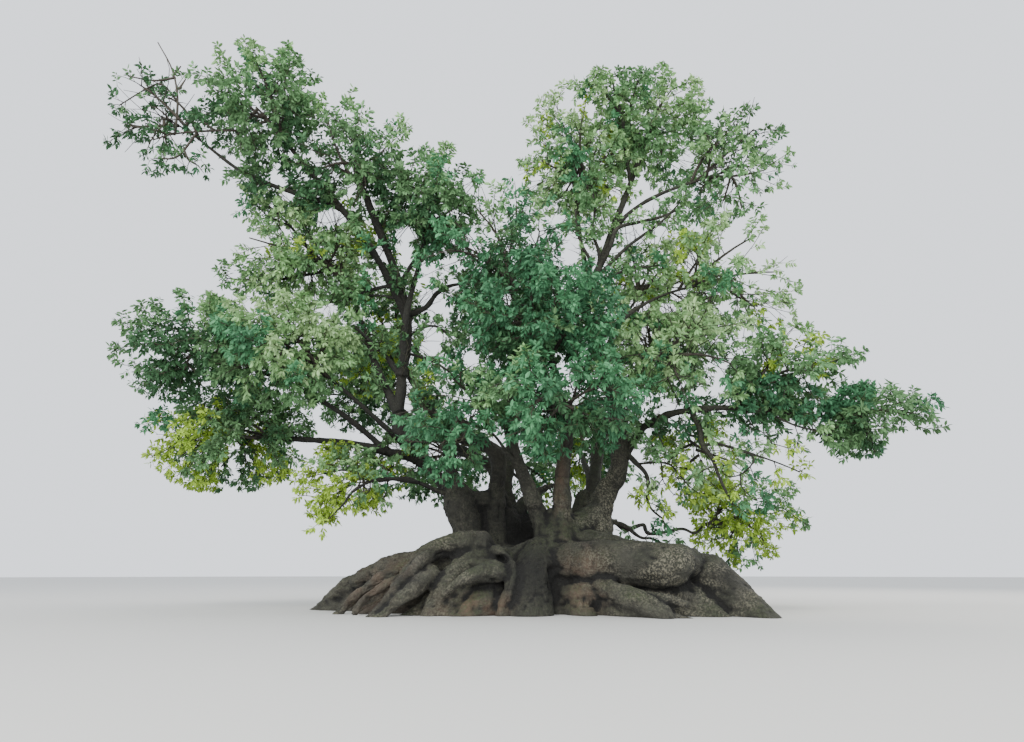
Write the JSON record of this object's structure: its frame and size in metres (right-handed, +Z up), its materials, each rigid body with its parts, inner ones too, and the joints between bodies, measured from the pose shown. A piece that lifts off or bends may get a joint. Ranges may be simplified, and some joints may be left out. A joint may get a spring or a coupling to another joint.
{
  "type": "ombu tree",
  "caption": "Old spreading evergreen: a swollen root flare, several rising stems, leaning boughs and a crown of separate leafy masses.",
  "frame": {"origin": "on the level ground under the middle of the trunk, at the flat cut of the root flare", "axes": "+Z up, +X to the right as the picture shows the tree, -Y towards the side that the picture shows"},
  "size_m": [22.5501, 14.1986, 17.0185],
  "materials": {
    "bark": "rough grey-brown bark with moss and pale lichen",
    "bough_bark": "rough dark grey-brown bark",
    "leaf_deep": "smooth deep green leaf",
    "leaf_mid": "smooth mid green leaf",
    "leaf_fresh": "smooth fresh green leaf"
  },
  "bodies": {
    "root": {"trunk": "bark", "bough_upper_left_inner": "bough_bark", "bough_upper_left_outer": "bough_bark", "bough_tip_left": "bough_bark", "bough_upper_left_crest": "bough_bark", "bough_left_shoulder": "bough_bark", "bough_left_inner": "bough_bark", "bough_left_low": "bough_bark", "bough_left_far": "bough_bark", "bough_left_mid": "bough_bark", "bough_left_skirt": "bough_bark", "bough_centre_top": "bough_bark", "bough_centre_left_low": "bough_bark", "bough_centre_mid": "bough_bark", "bough_centre_low": "bough_bark", "bough_right_crest": "bough_bark", "bough_right_crest_left": "bough_bark", "bough_right_crown": "bough_bark", "bough_right_shoulder": "bough_bark", "bough_right_inner": "bough_bark", "bough_right_mid": "bough_bark", "bough_right_arm": "bough_bark", "bough_right_outer": "bough_bark", "bough_right_low": "bough_bark", "bough_right_skirt": "bough_bark", "bough_back_centre": "bough_bark", "bough_back_left": "bough_bark", "bough_back_left_low": "bough_bark", "bough_back_right": "bough_bark", "bough_back_low": "bough_bark", "foliage_upper_left_inner": "leaf_deep", "foliage_upper_left_outer": "leaf_mid", "foliage_tip_left": "leaf_fresh", "foliage_upper_left_crest": "leaf_deep", "foliage_left_shoulder": "leaf_mid", "foliage_left_inner": "leaf_fresh", "foliage_left_low": "leaf_deep", "foliage_left_far": "leaf_mid", "foliage_left_mid": "leaf_fresh", "foliage_left_skirt": "leaf_deep", "foliage_centre_top": "leaf_mid", "foliage_centre_left_low": "leaf_fresh", "foliage_centre_mid": "leaf_deep", "foliage_centre_low": "leaf_mid", "foliage_right_crest": "leaf_fresh", "foliage_right_crest_left": "leaf_deep", "foliage_right_crown": "leaf_mid", "foliage_right_shoulder": "leaf_fresh", "foliage_right_inner": "leaf_deep", "foliage_right_mid": "leaf_mid", "foliage_right_arm": "leaf_fresh", "foliage_right_outer": "leaf_deep", "foliage_right_low": "leaf_mid", "foliage_right_skirt": "leaf_fresh", "foliage_back_centre": "leaf_deep", "foliage_back_left": "leaf_mid", "foliage_back_left_low": "leaf_fresh", "foliage_back_right": "leaf_deep", "foliage_back_low": "leaf_mid"}
  },
  "joints": []
}
